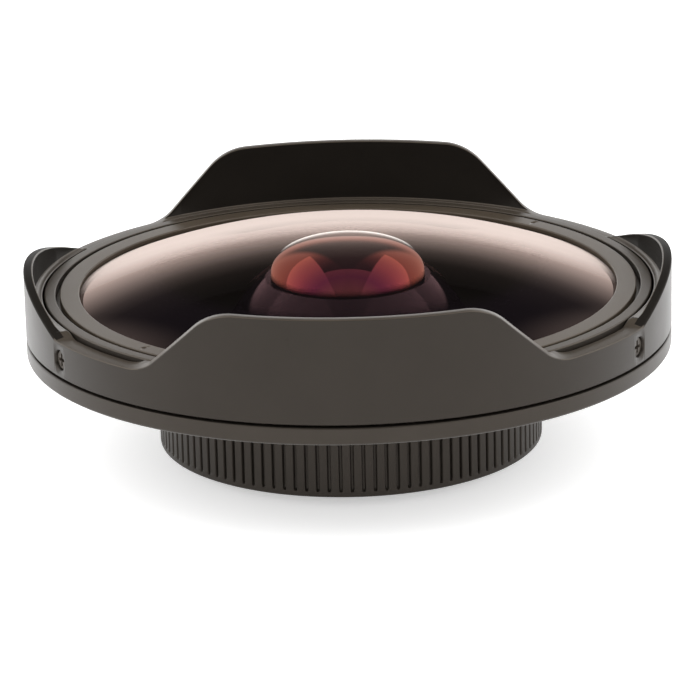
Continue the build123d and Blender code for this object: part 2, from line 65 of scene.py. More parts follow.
HOOD_R = HOOD_HIGH.x
HOOD_BASE = HOOD_LOW.z
PETAL_TOP = HOOD_HIGH.z
SEAM_GAP = 0.3 * MM
SEAM = HOOD_BASE - SEAM_GAP / 2
RING_R = RING_HIGH.x
BARREL_TOP = BARREL_HIGH.z
GLASS_R = GLASS_HIGH.x
GLASS_BORE = GLASS_R + 0.1 * MM

# Set screws, whose points run in a groove of the barrel
SCREW_ANGLES = (radians(60), radians(180), radians(-60))
SCREW_R = 1.3 * MM
SCREW_Z = SEAM + 2.6 * MM

# Roundings of turned edges
BROKEN = 0.05 * MM
FINE = 0.1 * MM
SMALL = 0.12 * MM
LIGHT = 0.15 * MM
SOFT = 0.2 * MM
ROUND = 0.3 * MM

# Camera, fitted to the ellipses of the seam, the flange and the grip ring
CAMERA_ELEVATION = radians(17.946)
CAMERA_ROLL = radians(1.303)
CAMERA_DISTANCE = 0.5357
CAMERA_LENS = 201.5
SENSOR_WIDTH = 36.0
CLIP_START = 0.01
CLIP_END = 20.0
AIM = Vector((0.075 * MM, -1.172 * MM, SEAM - 3.62 * MM))

# Studio: two ceiling panels, a small light in front, and a sky given as (elevation, level)
PANEL_OFFSET = 1.32
PANEL_Y = -0.12
PANEL_HEIGHT = 0.8
PANEL_TURN = radians(14)
PANEL_SIZE = (2.2, 1.15)
PANEL_POWER = 11.9
FRONT_LIGHT_PLACE = (0, -0.26, 0.8)
FRONT_LIGHT_SIZE = (0.75, 0.75)
FRONT_LIGHT_POWER = 1.6
SKY_STRENGTH = 1.9
SIDE_START = 20
SIDE_BLEND = 8
MIDDLE_SKY = (
    (0, 1.0),
    (10, 1.0),
    (14, 0.76),
    (17, 0.52),
    (19, 0.38),
    (21, 0.23),
    (23, 0.14),
    (27, 0.05),
    (35, 0.025),
    (90, 0.05),
)
SIDE_SKY = ((0, 1.0), (12, 1.0), (25, 0.85), (40, 0.75), (55, 0.3), (70, 0.08))


def make_camera():
    """Camera on the photograph's line of sight, rolled as the photograph is."""
    data = bpy.data.cameras.new("camera")
    data.lens = CAMERA_LENS
    data.sensor_width = SENSOR_WIDTH
    data.clip_start = CLIP_START
    data.clip_end = CLIP_END
    camera = bpy.data.objects.new("camera", data)
    sight = Vector((0, cos(CAMERA_ELEVATION), -sin(CAMERA_ELEVATION)))
    upright = Vector((0, sin(CAMERA_ELEVATION), cos(CAMERA_ELEVATION)))
    right = Vector((1, 0, 0))
    rolled_right = right * cos(CAMERA_ROLL) - upright * sin(CAMERA_ROLL)
    rolled_up = right * sin(CAMERA_ROLL) + upright * cos(CAMERA_ROLL)
    turn = Matrix((rolled_right, rolled_up, -sight)).transposed()
    camera.matrix_world = Matrix.Translation(AIM - sight * CAMERA_DISTANCE) @ turn.to_4x4()
    scene.collection.objects.link(camera)
    scene.camera = camera


# Mesh tools
COLUMNS = 360


def rounded(corners):
    """Outline with each corner (r, z, radius) rounded by that radius."""
    steps = 4
    points = []
    count = len(corners)
    for i in range(count):
        r, z, radius = corners[i]
        here = Vector((r, z))
        back = (Vector(corners[i - 1][:2]) - here).normalized()
        ahead = (Vector(corners[(i + 1) % count][:2]) - here).normalized()
        half = acos(max(-1.0, min(1.0, back.dot(ahead)))) / 2
        reach = radius / tan(half)
        centre = here + (back + ahead).normalized() * radius / sin(half)
        first = here + back * reach - centre
        last = here + ahead * reach - centre
        sweep = atan2(first.x * last.y - first.y * last.x, first.dot(last))
        start = atan2(first.y, first.x)
        for step in range(steps + 1):
            angle = start + sweep * step / steps
            points.append((centre.x + radius * cos(angle), centre.y + radius * sin(angle)))
    return points


def quarter_turn(steps):
    """Sine and cosine at each step of a quarter turn, for a rounded edge."""
    turns = [pi / 2 * step / steps for step in range(steps + 1)]
    return [(sin(turn), cos(turn)) for turn in turns]


def dish(edge_z, rise, outer, steps, inner=0.0):
    """Points of a spherical glass surface from the inner to the outer radius, for its rise at the axis."""
    radius = (outer**2 + rise**2) / (2 * rise)
    points = []
    for step in range(steps + 1):
        r = inner + (outer - inner) * step / steps
        drop = radius - sqrt(radius**2 - r**2)
        points.append((r, edge_z + rise - drop))
    return points


def from_build(name, build):
    """Object in the scene from a bmesh, shaded smooth."""
    mesh = bpy.data.meshes.new(name)
    build.to_mesh(mesh)
    build.free()
    for face in mesh.polygons:
        face.use_smooth = True
    piece = bpy.data.objects.new(name, mesh)
    scene.collection.objects.link(piece)
    return piece


def welded(name, build, distance):
    """Object from a bmesh, with doubled points merged and the faces turned outwards."""
    bmesh.ops.remove_doubles(build, verts=build.verts, dist=distance)
    bmesh.ops.dissolve_degenerate(build, edges=build.edges, dist=distance)
    bmesh.ops.recalc_face_normals(build, faces=build.faces)
    return from_build(name, build)


def bridge(build, low, high, count):
    """That many quads between two rows; after the last point comes the first again."""
    for j in range(count):
        k = (j + 1) % len(low)
        build.faces.new((low[j], low[k], high[k], high[j]))


def grid(name, rows, close_rows=True, weld=1e-7):
    """Mesh from rows of points that run once round the axis; closed, the last row joins the first."""
    build = bmesh.new()
    lines = [[build.verts.new(point) for point in row] for row in rows]
    following = lines[1:] + lines[:1] if close_rows else lines[1:]
    for low, high in zip(lines, following):
        bridge(build, low, high, len(low))
    return welded(name, build, weld)


def spin(point, angle):
    """Point (r, z) at an angle from the front petal, anticlockwise seen from above."""
    return Vector((point[0] * sin(angle), -point[0] * cos(angle), point[1]))


def lathe(name, profile, columns=COLUMNS, closed=True):
    """Turned piece from a half section in (r, z)."""
    angles = [2 * pi * j / columns for j in range(columns)]
    rows = [[spin(point, angle) for angle in angles] for point in profile]
    return grid(name, rows, close_rows=closed)


def spoke(angle):
    """Matrix that lays a turned piece along a radius of the hood, with its +Z pointing outwards."""
    out = Vector((sin(angle), -cos(angle), 0))
    level = Vector((cos(angle), sin(angle), 0))
    turn = Matrix((level, AXIS, out)).transposed().to_4x4()
    return Matrix.Translation(Vector((0, 0, SCREW_Z))) @ turn


def even_normals(piece):
    """Keeps the flats flat between rounded edges."""
    modifier = piece.modifiers.new("even_normals", "WEIGHTED_NORMAL")
    modifier.mode = "FACE_AREA"
    modifier.weight = 50
    modifier.keep_sharp = True


def sharp_edges(piece, limit=25):
    """Splits the shading where two faces meet at more than the limit, in degrees."""
    modifier = piece.modifiers.new("sharp", "EDGE_SPLIT")
    modifier.split_angle = radians(limit)


def cut(piece, tool):
    """Takes the tool away from the piece, and deletes the tool."""
    modifier = piece.modifiers.new("cut", "BOOLEAN")
    modifier.operation = "DIFFERENCE"
    modifier.solver = "EXACT"
    modifier.object = tool
    bpy.context.view_layer.update()
    solid = piece.evaluated_get(bpy.context.evaluated_depsgraph_get())
    mesh = bpy.data.meshes.new_from_object(solid)
    piece.modifiers.clear()
    piece.data = mesh
    bpy.data.objects.remove(tool)


def finish_piece(piece, body, slot, materials, *nodes):
    """Rides the piece on its body, in place of its CAD nodes, with its finishes."""
    piece.data.materials.clear()
    for material in materials:
        piece.data.materials.append(material)
    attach(piece, body)
    if nodes:
        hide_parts(*nodes)


# Materials: the range that holds the bulk of a noise's values, and the black behind the glass
NOISE_LOW = 0.3
NOISE_HIGH = 0.7
DARK_INSIDE = (0.004, 0.003, 0.004, 1.0)


class Nodes:
    """Short way to write the node tree of a material or of the world."""

    def __init__(self, owner, output):
        owner.use_nodes = True
        self.owner = owner
        self.tree = owner.node_tree
        self.tree.nodes.clear()
        self.output = self.add(output)

    def add(self, kind, values=None, **settings):
        """Node with its settings, and its inputs linked or set."""
        node = self.tree.nodes.new("ShaderNode" + kind)
        for key, value in settings.items():
            setattr(node, key, value)
        for key, value in (values or {}).items():
            socket = node.inputs[key]
            if isinstance(value, bpy.types.NodeSocket):
                self.tree.links.new(value, socket)
            else:
                socket.default_value = value
        return node

    def first(self, kind, values=None, **settings):
        """The first output of a new node."""
        return self.add(kind, values, **settings).outputs[0]

    def place(self):
        """Place on the piece, in its own metres."""
        return self.add("TexCoord").outputs["Object"]

    def part(self, vector, axis):
        """One of a vector's three parts."""
        return self.add("SeparateXYZ", {"Vector": vector}).outputs[axis]

    def radius(self, where):
        """Distance of the place from the optical axis."""
        square_x = self.maths("POWER", self.part(where, "X"), 2.0)
        square_y = self.maths("POWER", self.part(where, "Y"), 2.0)
        return self.maths("SQRT", self.maths("ADD", square_x, square_y))

    def maths(self, operation, first, second=0.0):
        """Result of a sum, a product or another operation."""
        return self.add("Math", {0: first, 1: second}, operation=operation).outputs["Value"]

    def noise(self, where, scale, detail=2.0, roughness=0.5):
        """Grey noise over the piece."""
        values = {"Vector": where, "Scale": scale, "Detail": detail, "Roughness": roughness}
        return self.add("TexNoise", values).outputs["Fac"]

    def ramp(self, factor, stops):
        """Colour between stops (position, colour)."""
        node = self.add("ValToRGB", {"Fac": factor})
        elements = node.color_ramp.elements
        while len(elements) < len(stops):
            elements.new(0.5)
        for element, (position, colour) in zip(elements, stops):
            element.position = position
            element.color = (*colour, 1.0)
        return node.outputs["Color"]

    def span(self, value, low, high, to_low=0.0, to_high=1.0, smooth=True):
        """The value's range from low to high, stretched over another range."""
        values = {"Value": value, "From Min": low, "From Max": high, "To Min": to_low, "To Max": to_high}
        kind = "SMOOTHSTEP" if smooth else "LINEAR"
        return self.add("MapRange", values, interpolation_type=kind).outputs["Result"]

    def spread(self, noise, to_low, to_high):
        """The noise's range, stretched over another range."""
        return self.span(noise, NOISE_LOW, NOISE_HIGH, to_low, to_high, smooth=False)

    def facing(self, **inputs):
        """0 face on, towards 1 at the edge."""
        return self.add("LayerWeight", {"Blend": 0.5, **inputs}).outputs["Facing"]

    def mix(self, share, first, second):
        """Shader between two others."""
        return self.add("MixShader", {"Fac": share, 1: first, 2: second}).outputs["Shader"]

    def surface(self, shader):
        """Links the finished shader to the output."""
        self.tree.links.new(shader, self.output.inputs["Surface"])
        return self.owner


def new_material(name):
    """Empty node tree of a new material."""
    return Nodes(bpy.data.materials.new(name), "OutputMaterial")


def grey(level, warmth=0.15):
    """Slightly warm grey of a linear level."""
    return (level * (1 + warmth), level, level * (1 - warmth))


def turned_metal(name, level, roughness, line_axis, lines=9000.0, warmth=0.2, shine=0.3):
    """Black anodised metal: fine turning lines, a blasted grain and a faint cloudiness of the dye."""
    grain_scale = 9000.0
    cloud_scale = 90.0
    dye_change = 0.14
    rough_change = 0.03
    line_depth = 0.02 * MM
    line_strength = 0.05
    grain_depth = 0.01 * MM
    grain_strength = 0.35
    metal_index = 1.5
    warm_shine = (1.0, 0.88, 0.78, 1.0)
    n = new_material(name)
    where = n.place()
    height = n.part(where, "Z")
    radius = n.radius(where)
    along = {"z": height, "r": radius, "both": n.maths("ADD", radius, height)}[line_axis]
    line_place = {"W": n.maths("MULTIPLY", along, lines), "Detail": 2.0}
    line_noise = n.add("TexNoise", line_place, noise_dimensions="1D").outputs["Fac"]
    grain = n.noise(where, grain_scale)
    cloud = n.noise(where, cloud_scale, detail=4.0, roughness=0.6)
    dark = grey(level * (1 - dye_change), warmth)
    light = grey(level * (1 + dye_change), warmth)
    cloud_rough = n.spread(cloud, roughness - rough_change, roughness + rough_change)
    line_rough = n.spread(line_noise, -rough_change, rough_change)
    line_bump = n.first("Bump", {"Height": line_noise, "Strength": line_strength, "Distance": line_depth})
    grain_bump = n.first(
        "Bump",
        {"Height": grain, "Strength": grain_strength, "Distance": grain_depth, "Normal": line_bump},
    )
    metal = n.first(
        "BsdfPrincipled",
        {
            "Base Color": n.ramp(cloud, ((NOISE_LOW, dark), (NOISE_HIGH, light))),
            "Roughness": n.maths("ADD", cloud_rough, line_rough),
            "Normal": grain_bump,
            "IOR": metal_index,
            "Specular IOR Level": shine,
            "Specular Tint": warm_shine,
        },
    )
    return n.surface(metal)


def matt_black(name, level, roughness, shine=0.15):
    """Flat black paint, rubber or plastic with a fine grain."""
    grain_scale = 4000.0
    cloud_scale = 120.0
    detail = 3.0
    colour_change = 0.2
    rough_change = 0.05
    grain_depth = 0.02 * MM
    grain_strength = 0.3
    n = new_material(name)
    where = n.place()
    grain = n.noise(where, grain_scale, detail)
    cloud = n.noise(where, cloud_scale, detail)
    dark = grey(level * (1 - colour_change))
    light = grey(level * (1 + colour_change))
    bump = n.first("Bump", {"Height": grain, "Strength": grain_strength, "Distance": grain_depth})
    paint = n.first(
        "BsdfPrincipled",
        {
            "Base Color": n.ramp(cloud, ((NOISE_LOW, dark), (NOISE_HIGH, light))),
            "Roughness": n.spread(grain, roughness - rough_change, roughness + rough_change),
            "Normal": bump,
            "Specular IOR Level": shine,
        },
    )
    return n.surface(paint)


def coated_glass(name, colours, strength, painted_reflection=None, window=None):
    """Clear shell whose coating reflects other colours face on than towards the edge. The pale colour for
    the
    grazing angle is a painted reflection: a diffuse layer in place of the bright band the surroundings
    reflect along the dome's edge. Outside the window the glass lies on its blackened seat."""
    smear_scale = 60.0
    smear_detail = 3.0
    polish = (0.04, 0.055)
    glass_index = 1.52
    painted_reflection_stops = ((0.74, 0.0), (0.78, 0.4), (0.82, 0.85), (0.86, 1.0))
    n = new_material(name)
    where = n.place()
    facing = n.facing()
    rough = n.spread(n.noise(where, smear_scale, smear_detail), *polish)
    behind = n.first("BsdfTransparent")
    if window is not None:
        seat = n.first("BsdfDiffuse", {"Color": DARK_INSIDE})
        behind = n.mix(n.span(n.radius(where), *window), behind, seat)
    gloss = n.first("BsdfGlossy", {"Color": n.ramp(facing, colours), "Roughness": rough})
    fresnel = n.first("Fresnel", {"IOR": glass_index})
    front_side = n.maths("SUBTRACT", 1.0, n.add("NewGeometry").outputs["Backfacing"])
    amount = n.maths("MULTIPLY", n.maths("MULTIPLY", fresnel, strength), front_side)
    glass = n.mix(amount, behind, gloss)
    # Painted reflection: a pale diffuse layer towards the grazing edge, in place of the bright band that
    # the surroundings reflect along the dome's edge.
    if painted_reflection is not None:
        painted_reflection_layer = n.first("BsdfDiffuse", {"Color": (*painted_reflection, 1.0)})
        share = n.ramp(facing, [(position, (level,) * 3) for position, level in painted_reflection_stops])
        glass = n.mix(n.maths("MULTIPLY", share, front_side), glass, painted_reflection_layer)
    return n.surface(glass)


def dark_glass(name, colours, gloss_index, bulge=None, painted_rim_highlight=None, painted_shade_fade=None):
    """Coated glass with only the dark inside of the lens behind it. With a bulge the polish is shaded
    as a ball round a point on the axis, the rim colour adds a painted highlight, a pale line along the
    upper edge, and between the two heights of the fade the reflection darkens away downwards as painted
    shade."""
    smear_scale = 150.0
    smear_detail = 3.0
    polish = (0.02, 0.06)
    highlight_facing = (0.78, 0.95)
    highlight_upward = (0.75, 0.97)
    n = new_material(name)
    where = n.place()
    shaded = {}
    if bulge is not None:
        away = n.first("VectorMath", {0: where, 1: (0, 0, bulge)}, operation="SUBTRACT")
        shaded["Normal"] = n.first("VectorMath", {0: away}, operation="NORMALIZE")
    tint = n.ramp(n.facing(**shaded), colours)
    rough = n.spread(n.noise(where, smear_scale, smear_detail), *polish)
    gloss = n.first("BsdfGlossy", {"Color": tint, "Roughness": rough, **shaded})
    amount = n.first("Fresnel", {"IOR": gloss_index, **shaded})
    # Painted shade: the reflection is darkened away downwards between the fade's two heights.
    if painted_shade_fade is not None:
        amount = n.maths("MULTIPLY", amount, n.span(n.part(where, "Z"), *painted_shade_fade))
    glass = n.mix(amount, n.first("BsdfDiffuse", {"Color": DARK_INSIDE}), gloss)
    # Painted highlight: a pale diffuse line where the surface grazes the view and faces upward, along the
    # upper edge.
    if painted_rim_highlight is not None:
        upward = n.part(n.add("NewGeometry").outputs["Normal"], "Z")
        line = n.maths("MULTIPLY", n.span(n.facing(), *highlight_facing), n.span(upward, *highlight_upward))
        glass = n.mix(line, glass, n.first("BsdfDiffuse", {"Color": (*painted_rim_highlight, 1.0)}))
    return n.surface(glass)


# Pieces
def make_hood(wall_metal, painted_shade_metal, painted_highlight_metal):
    """Petal hood: the wall follows the cut between four petals, with every edge rounded."""
    bore = 41.55 * MM
    petal_wall = 1.3 * MM
    inner = HOOD_R - petal_wall
    rim_z = SEAM + 5.06 * MM
    ledge_z = SEAM + 5.75 * MM
    flat_half = 14.5 * MM
    shoulder_r = 7.35 * MM
    foot_r = 5.0 * MM
    slope = radians(45)
    short_top = SEAM + 9.5 * MM
    short_r = 52.0 * MM
    edge = 0.22 * MM
    columns = 1080
    weld = 1e-6
    corner_x = flat_half + shoulder_r * tan(slope / 2)
    foot_x = corner_x + (PETAL_TOP - rim_z) / tan(slope)
    foot_end = foot_x + foot_r * tan(slope / 2)
    shoulder_end = corner_x + shoulder_r * tan(slope / 2) * cos(slope)
    foot_start = foot_x - foot_r * tan(slope / 2) * cos(slope)

    def top(x, y):
        """Height of the cut above a point of the wall."""
        x = abs(x)
        if x < flat_half:
            height = PETAL_TOP
        elif x < shoulder_end:
            height = PETAL_TOP - shoulder_r + sqrt(shoulder_r**2 - (x - flat_half) ** 2)
        elif x < foot_start:
            height = PETAL_TOP - (x - corner_x) * tan(slope)
        elif x < foot_end:
            height = rim_z + foot_r - sqrt(foot_r**2 - (x - foot_end) ** 2)
        else:
            height = rim_z
        if abs(y) < short_r:
            height = max(height, short_top - short_r + sqrt(short_r**2 - y**2))
        return height

    def at(angle, r, z=None, drop=0.0):
        """Point of the wall at a height that the cut allows, or else on the cut, less the drop."""
        x = r * sin(angle)
        y = -r * cos(angle)
        height = top(x, y) - drop if z is None else min(z, top(x, y))
        return Vector((x, y, height))

    sections = []
    for j in range(columns):
        angle = 2 * pi * j / columns
        step_height = max(0.0, top(inner * sin(angle), -inner * cos(angle)) - ledge_z)
        inner_edge = min(edge, step_height / 2)
        section = [at(angle, bore, HOOD_BASE), at(angle, HOOD_R - edge, HOOD_BASE)]
        section.append(at(angle, HOOD_R, HOOD_BASE + edge))
        for sine, cosine in quarter_turn(4):
            section.append(at(angle, HOOD_R - edge * (1 - cosine), drop=edge * (1 - sine)))
        for sine, cosine in quarter_turn(4):
            section.append(at(angle, inner + inner_edge * (1 - sine), drop=inner_edge * (1 - cosine)))
        section.append(at(angle, inner, ledge_z))
        for sine, cosine in quarter_turn(4):
            ledge = at(angle, bore + edge * (1 - sine), ledge_z)
            ledge.z -= edge * (1 - cosine)
            section.append(ledge)
        sections.append(section)
    hood = grid("hood", [list(row) for row in zip(*sections)], weld=weld)
    for angle in SCREW_ANGLES:
        cut(hood, screw_hole_tool(angle))
    even_normals(hood)
    finish_piece(hood, "hood", "hood_black", [wall_metal, painted_shade_metal, painted_highlight_metal], "petal_hood")

    skin = 0.02 * MM
    foot_clearance = 0.1 * MM
    upward = 0.5
    painted_shade_index = 1
    painted_highlight_index = 2
    for face in hood.data.polygons:
        centre = face.center
        reach = hypot(centre.x, centre.y)
        if centre.z < rim_z - edge or reach > HOOD_R - skin:
            continue
        inner_wall = reach < inner + skin and centre.z > ledge_z
        side_petal = abs(centre.x) > abs(centre.y) and centre.z > rim_z + foot_clearance
        # Painted shade: the inner wall above the ledge and the cut faces of the side petals take a darker
        # copy of the metal.
        if inner_wall or side_petal and reach > inner + edge:
            face.material_index = painted_shade_index
        # Painted highlight: the other upward faces take a lighter copy of the metal.
        elif face.normal.z > upward:
            face.material_index = painted_highlight_index


def screw_hole_tool(angle):
    """Tool for a screw hole with a small countersink, along a radius of the hood."""
    hole_r = SCREW_R + 0.05 * MM
    sink = 0.18 * MM
    over = 1.0 * MM
    inside = HOOD_R - 4.0 * MM
    outside = HOOD_R + over
    profile = [
        (0, inside),
        (hole_r, inside),
        (hole_r, HOOD_R - sink),
        (hole_r + sink + over, outside),
        (0, outside),
    ]
    tool = lathe("hole_tool", profile, columns=64, closed=False)
    tool.data.transform(spoke(angle))
    return tool


def make_screws(material):
    """Three set screws with a cross recess."""
    face = HOOD_R - 0.4 * MM
    body_end = HOOD_R - 2.25 * MM
    point_end = HOOD_R - 2.9 * MM
    point_r = 0.7 * MM
    chamfer = 0.15 * MM
    arm = 0.85 * MM
    half = 0.2 * MM
    depth = 0.6 * MM
    bevel = 0.03 * MM
    floor_share = 0.85
    floor_dip = 0.05 * MM
    pieces = 4
    split_angle = 40

    tip = atan2(half, arm)
    tip_r = hypot(arm, half)
    corners = []
    for quarter in range(4):
        base = quarter * pi / 2
        for angle, radius in ((-tip, tip_r), (0.0, arm), (tip, tip_r), (pi / 4, half * sqrt(2))):
            corners.append((base + angle, radius))
    cross = []
    for i, (angle, radius) in enumerate(corners):
        next_angle, next_radius = corners[(i + 1) % len(corners)]
        here = Vector((radius * cos(angle), radius * sin(angle)))
        there = Vector((next_radius * cos(next_angle), next_radius * sin(next_angle)))
        for k in range(pieces):
            point = here.lerp(there, k / pieces)
            cross.append((atan2(point.y, point.x), point.length))

    round_rows = (
        (0, point_end),
        (point_r, point_end),
        (point_r, body_end),
        (SCREW_R, body_end),
        (SCREW_R, face - chamfer),
        (SCREW_R - chamfer, face),
    )
    rows = [[row] * len(cross) for row in round_rows]
    rows.append([(radius + bevel, face) for _, radius in cross])
    rows.append([(radius, face - bevel) for _, radius in cross])
    rows.append([(radius * floor_share, face - depth) for _, radius in cross])
    rows.append([(0, face - depth - floor_dip)] * len(cross))
    screws = []
    for index, screw_angle in enumerate(SCREW_ANGLES):
        place = spoke(screw_angle)
        lines = []
        for row in rows:
            line = []
            for (r, z), (turn, _) in zip(row, cross):
                line.append(place @ Vector((r * cos(turn), r * sin(turn), z)))
            lines.append(line)
        screws.append(grid(f"set_screw_{index + 1}", lines, close_rows=False))
    for screw in screws:
        sharp_edges(screw, split_angle)
        finish_piece(screw, "hood", "screw_steel", [material])
    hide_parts("hood_set_screws")


def make_barrel(outside, painted_highlight_metal):
    """Flange, spigot, cup and neck in one turned piece."""
    spigot_r = 41.5 * MM
    barrel_r = 41.3 * MM
    ring_bore = RING_R + 0.05 * MM
    ring_seat_z = RING_LOW.z - 0.1 * MM
    seal_bore = GLASS_R - 1.3 * MM
    cup_floor_r = 30.5 * MM
    flange_top = SEAM - SEAM_GAP / 2
    flange_base = flange_top - 2.34 * MM
    slope_end_r = HOOD_R - 2.5 * MM
    flange_lower_edge = 0.45 * MM
    flange_upper_edge = 0.22 * MM
    slope_fillet = 0.8 * MM
    foot_fillet = 1.2 * MM
    groove_half = 1.0 * MM
    groove_r = spigot_r - 1.0 * MM
    lead_low = SCREW_Z + 1.3 * MM
    lead_high = SCREW_Z + 1.6 * MM
    neck_r = 24.6 * MM
    neck_foot_r = neck_r + 3.4 * MM
    neck_bore = 22.4 * MM
    neck_root_z = BAFFLE_BASE - 2.4 * MM
    thread_top = BARREL_LOW.z + 3.0 * MM
    second_bore = 20.8 * MM
    lip_bore = second_bore - 1.4 * MM
    painted_highlight_band = 0.25 * MM
    profile = rounded(
        [
            (neck_bore, BARREL_LOW.z, SMALL),
            (neck_r, BARREL_LOW.z, SMALL),
            (neck_r, neck_root_z, ROUND),
            (neck_foot_r, neck_root_z, foot_fillet),
            (slope_end_r, flange_base, slope_fillet),
            (HOOD_R, flange_base, flange_lower_edge),
            (HOOD_R, flange_top, flange_upper_edge),
            (spigot_r, flange_top, FINE),
            (spigot_r, SCREW_Z - groove_half, BROKEN),
            (groove_r, SCREW_Z - groove_half, FINE),
            (groove_r, SCREW_Z + groove_half, FINE),
            (spigot_r, SCREW_Z + groove_half, BROKEN),
            (spigot_r, lead_low, BROKEN),
            (barrel_r, lead_high, FINE),
            (barrel_r, BARREL_TOP, SOFT),
            (ring_bore, BARREL_TOP, SMALL),
            (ring_bore, ring_seat_z, BROKEN),
            (GLASS_BORE, ring_seat_z, BROKEN),
            (GLASS_BORE, SEAL_LOW.z, BROKEN),
            (seal_bore, SEAL_LOW.z, LIGHT),
            (cup_floor_r, BAFFLE_BASE, ROUND),
            (second_bore, BAFFLE_BASE, LIGHT),
            (second_bore, SECOND_SEAL_BASE, BROKEN),
            (lip_bore, SECOND_SEAL_BASE, FINE),
            (lip_bore, thread_top, FINE),
            (neck_bore, thread_top, FINE),
        ]
    )
    barrel = lathe("barrel", profile)
    even_normals(barrel)
    finish_piece(barrel, "barrel", "barrel_black", [outside, painted_highlight_metal], "main_barrel")
    # Painted highlight: the top band of the barrel takes a lighter copy of the metal.
    for face in barrel.data.polygons:
        if face.center.z > BARREL_TOP - painted_highlight_band:
            face.material_index = 1


def make_front_ring(material):
    """Retaining ring over the edge of the dome, with two small spanner holes."""
    bore = GLASS_R - 0.66 * MM
    lip_z = BARREL_TOP - 0.74 * MM
    step_r = RING_R - 0.55 * MM
    step_z = BARREL_TOP - 1.1 * MM
    hole_pitch = bore + 1.46 * MM
    hole_r = 0.35 * MM
    hole_floor = BARREL_TOP - 0.6 * MM
    sink_start = BARREL_TOP - 0.08 * MM
    over_r = 0.63 * MM
    over_z = BARREL_TOP + 0.2 * MM
    hole_angles = (radians(-44.5), radians(135.5))
    profile = rounded(
        [
            (GLASS_BORE, RING_LOW.z, BROKEN),
            (RING_R, RING_LOW.z, FINE),
            (RING_R, step_z, BROKEN),
            (step_r, step_z, BROKEN),
            (step_r, BARREL_TOP, LIGHT),
            (bore, BARREL_TOP, SOFT),
            (bore, lip_z, FINE),
            (GLASS_BORE, lip_z, BROKEN),
        ]
    )
    hole = [(0, hole_floor), (hole_r, hole_floor), (hole_r, sink_start), (over_r, over_z), (0, over_z)]
    ring = lathe("front_ring", profile)
    for angle in hole_angles:
        tool = lathe("hole_tool", hole, columns=32, closed=False)
        tool.data.transform(Matrix.Translation(spin((hole_pitch, 0), angle)))
        cut(ring, tool)
    even_normals(ring)
    finish_piece(ring, "barrel", "ring_black", [material], "front_retaining_ring")


def make_front_element(glass, bowl_coat, blackened):
    """Dome in front and bowl behind, with a blackened edge."""
    rise = 7.42 * MM
    edge_z = GLASS_HIGH.z - rise
    bowl_r = 18.5 * MM
    bowl_rise = 13.84 * MM
    back_r = 30.0 * MM
    seat_bore = GLASS_R - 1.8 * MM
    skin = 0.001 * MM
    profile = dish(edge_z, rise, GLASS_R, 96)
    profile += [(GLASS_R, SEAL_HIGH.z), (seat_bore, SEAL_HIGH.z), (back_r, GLASS_LOW.z)]
    profile += reversed(dish(GLASS_LOW.z, bowl_rise, bowl_r, 72))
    element = lathe("front_element_glass", profile, closed=False)
    finish_piece(element, "barrel", "front_glass", [glass, blackened, bowl_coat], "front_element")
    for face in element.data.polygons:
        centre = face.center
        on_dome = centre.z > edge_z
        on_bowl = hypot(centre.x, centre.y) < bowl_r and centre.z > GLASS_LOW.z + skin
        face.material_index = 0 if on_dome else 2 if on_bowl else 1
    sharp_edges(element)


def make_second_element(cap_coating, glass, blackened):
    """Steep meniscus that nests in the bowl. Its cap is as full as it is seen through the front glass."""
    outer_r = SECOND_HIGH.x
    front_z = SECOND_RING_BASE - 0.05 * MM
    front_rise = SECOND_HIGH.z - front_z
    land_r = outer_r - 2.41 * MM
    back_rim_r = outer_r - 5.2 * MM
    back_rise = 12.5 * MM
    cap_r = 10.5 * MM
    cap_base = 24.1 * MM
    cap_height = 5.05 * MM
    fullness = 2.6
    steps = 64
    columns = 240
    skin = 0.001 * MM
    profile = []
    for sine, cosine in quarter_turn(steps):
        rise = cap_height * max(0.0, cosine) ** (2 / fullness)
        profile.append((cap_r * sine ** (2 / fullness), cap_base + rise))
    ball_r = (land_r**2 + front_rise**2) / (2 * front_rise)
    step_r = sqrt(ball_r**2 - (cap_base - (SECOND_HIGH.z - ball_r)) ** 2)
    profile += dish(front_z, front_rise, land_r, 48, inner=step_r)
    profile += [(outer_r, front_z), (outer_r, SECOND_LOW.z), (back_rim_r, SECOND_LOW.z)]
    profile += reversed(dish(SECOND_LOW.z, back_rise, back_rim_r, 48))
    element = lathe("second_element_glass", profile, columns=columns, closed=False)
    finish_piece(element, "barrel", "coated_glass", [cap_coating, glass, blackened], "second_element")
    for face in element.data.polygons:
        centre = face.center
        reach = hypot(centre.x, centre.y)
        cap = reach < cap_r and centre.z > cap_base
        front = cap_r < reach < land_r and centre.z > front_z + skin
        back = reach < back_rim_r and SECOND_LOW.z < centre.z < cap_base
        face.material_index = 0 if cap else 1 if front or back else 2
    sharp_edges(element)


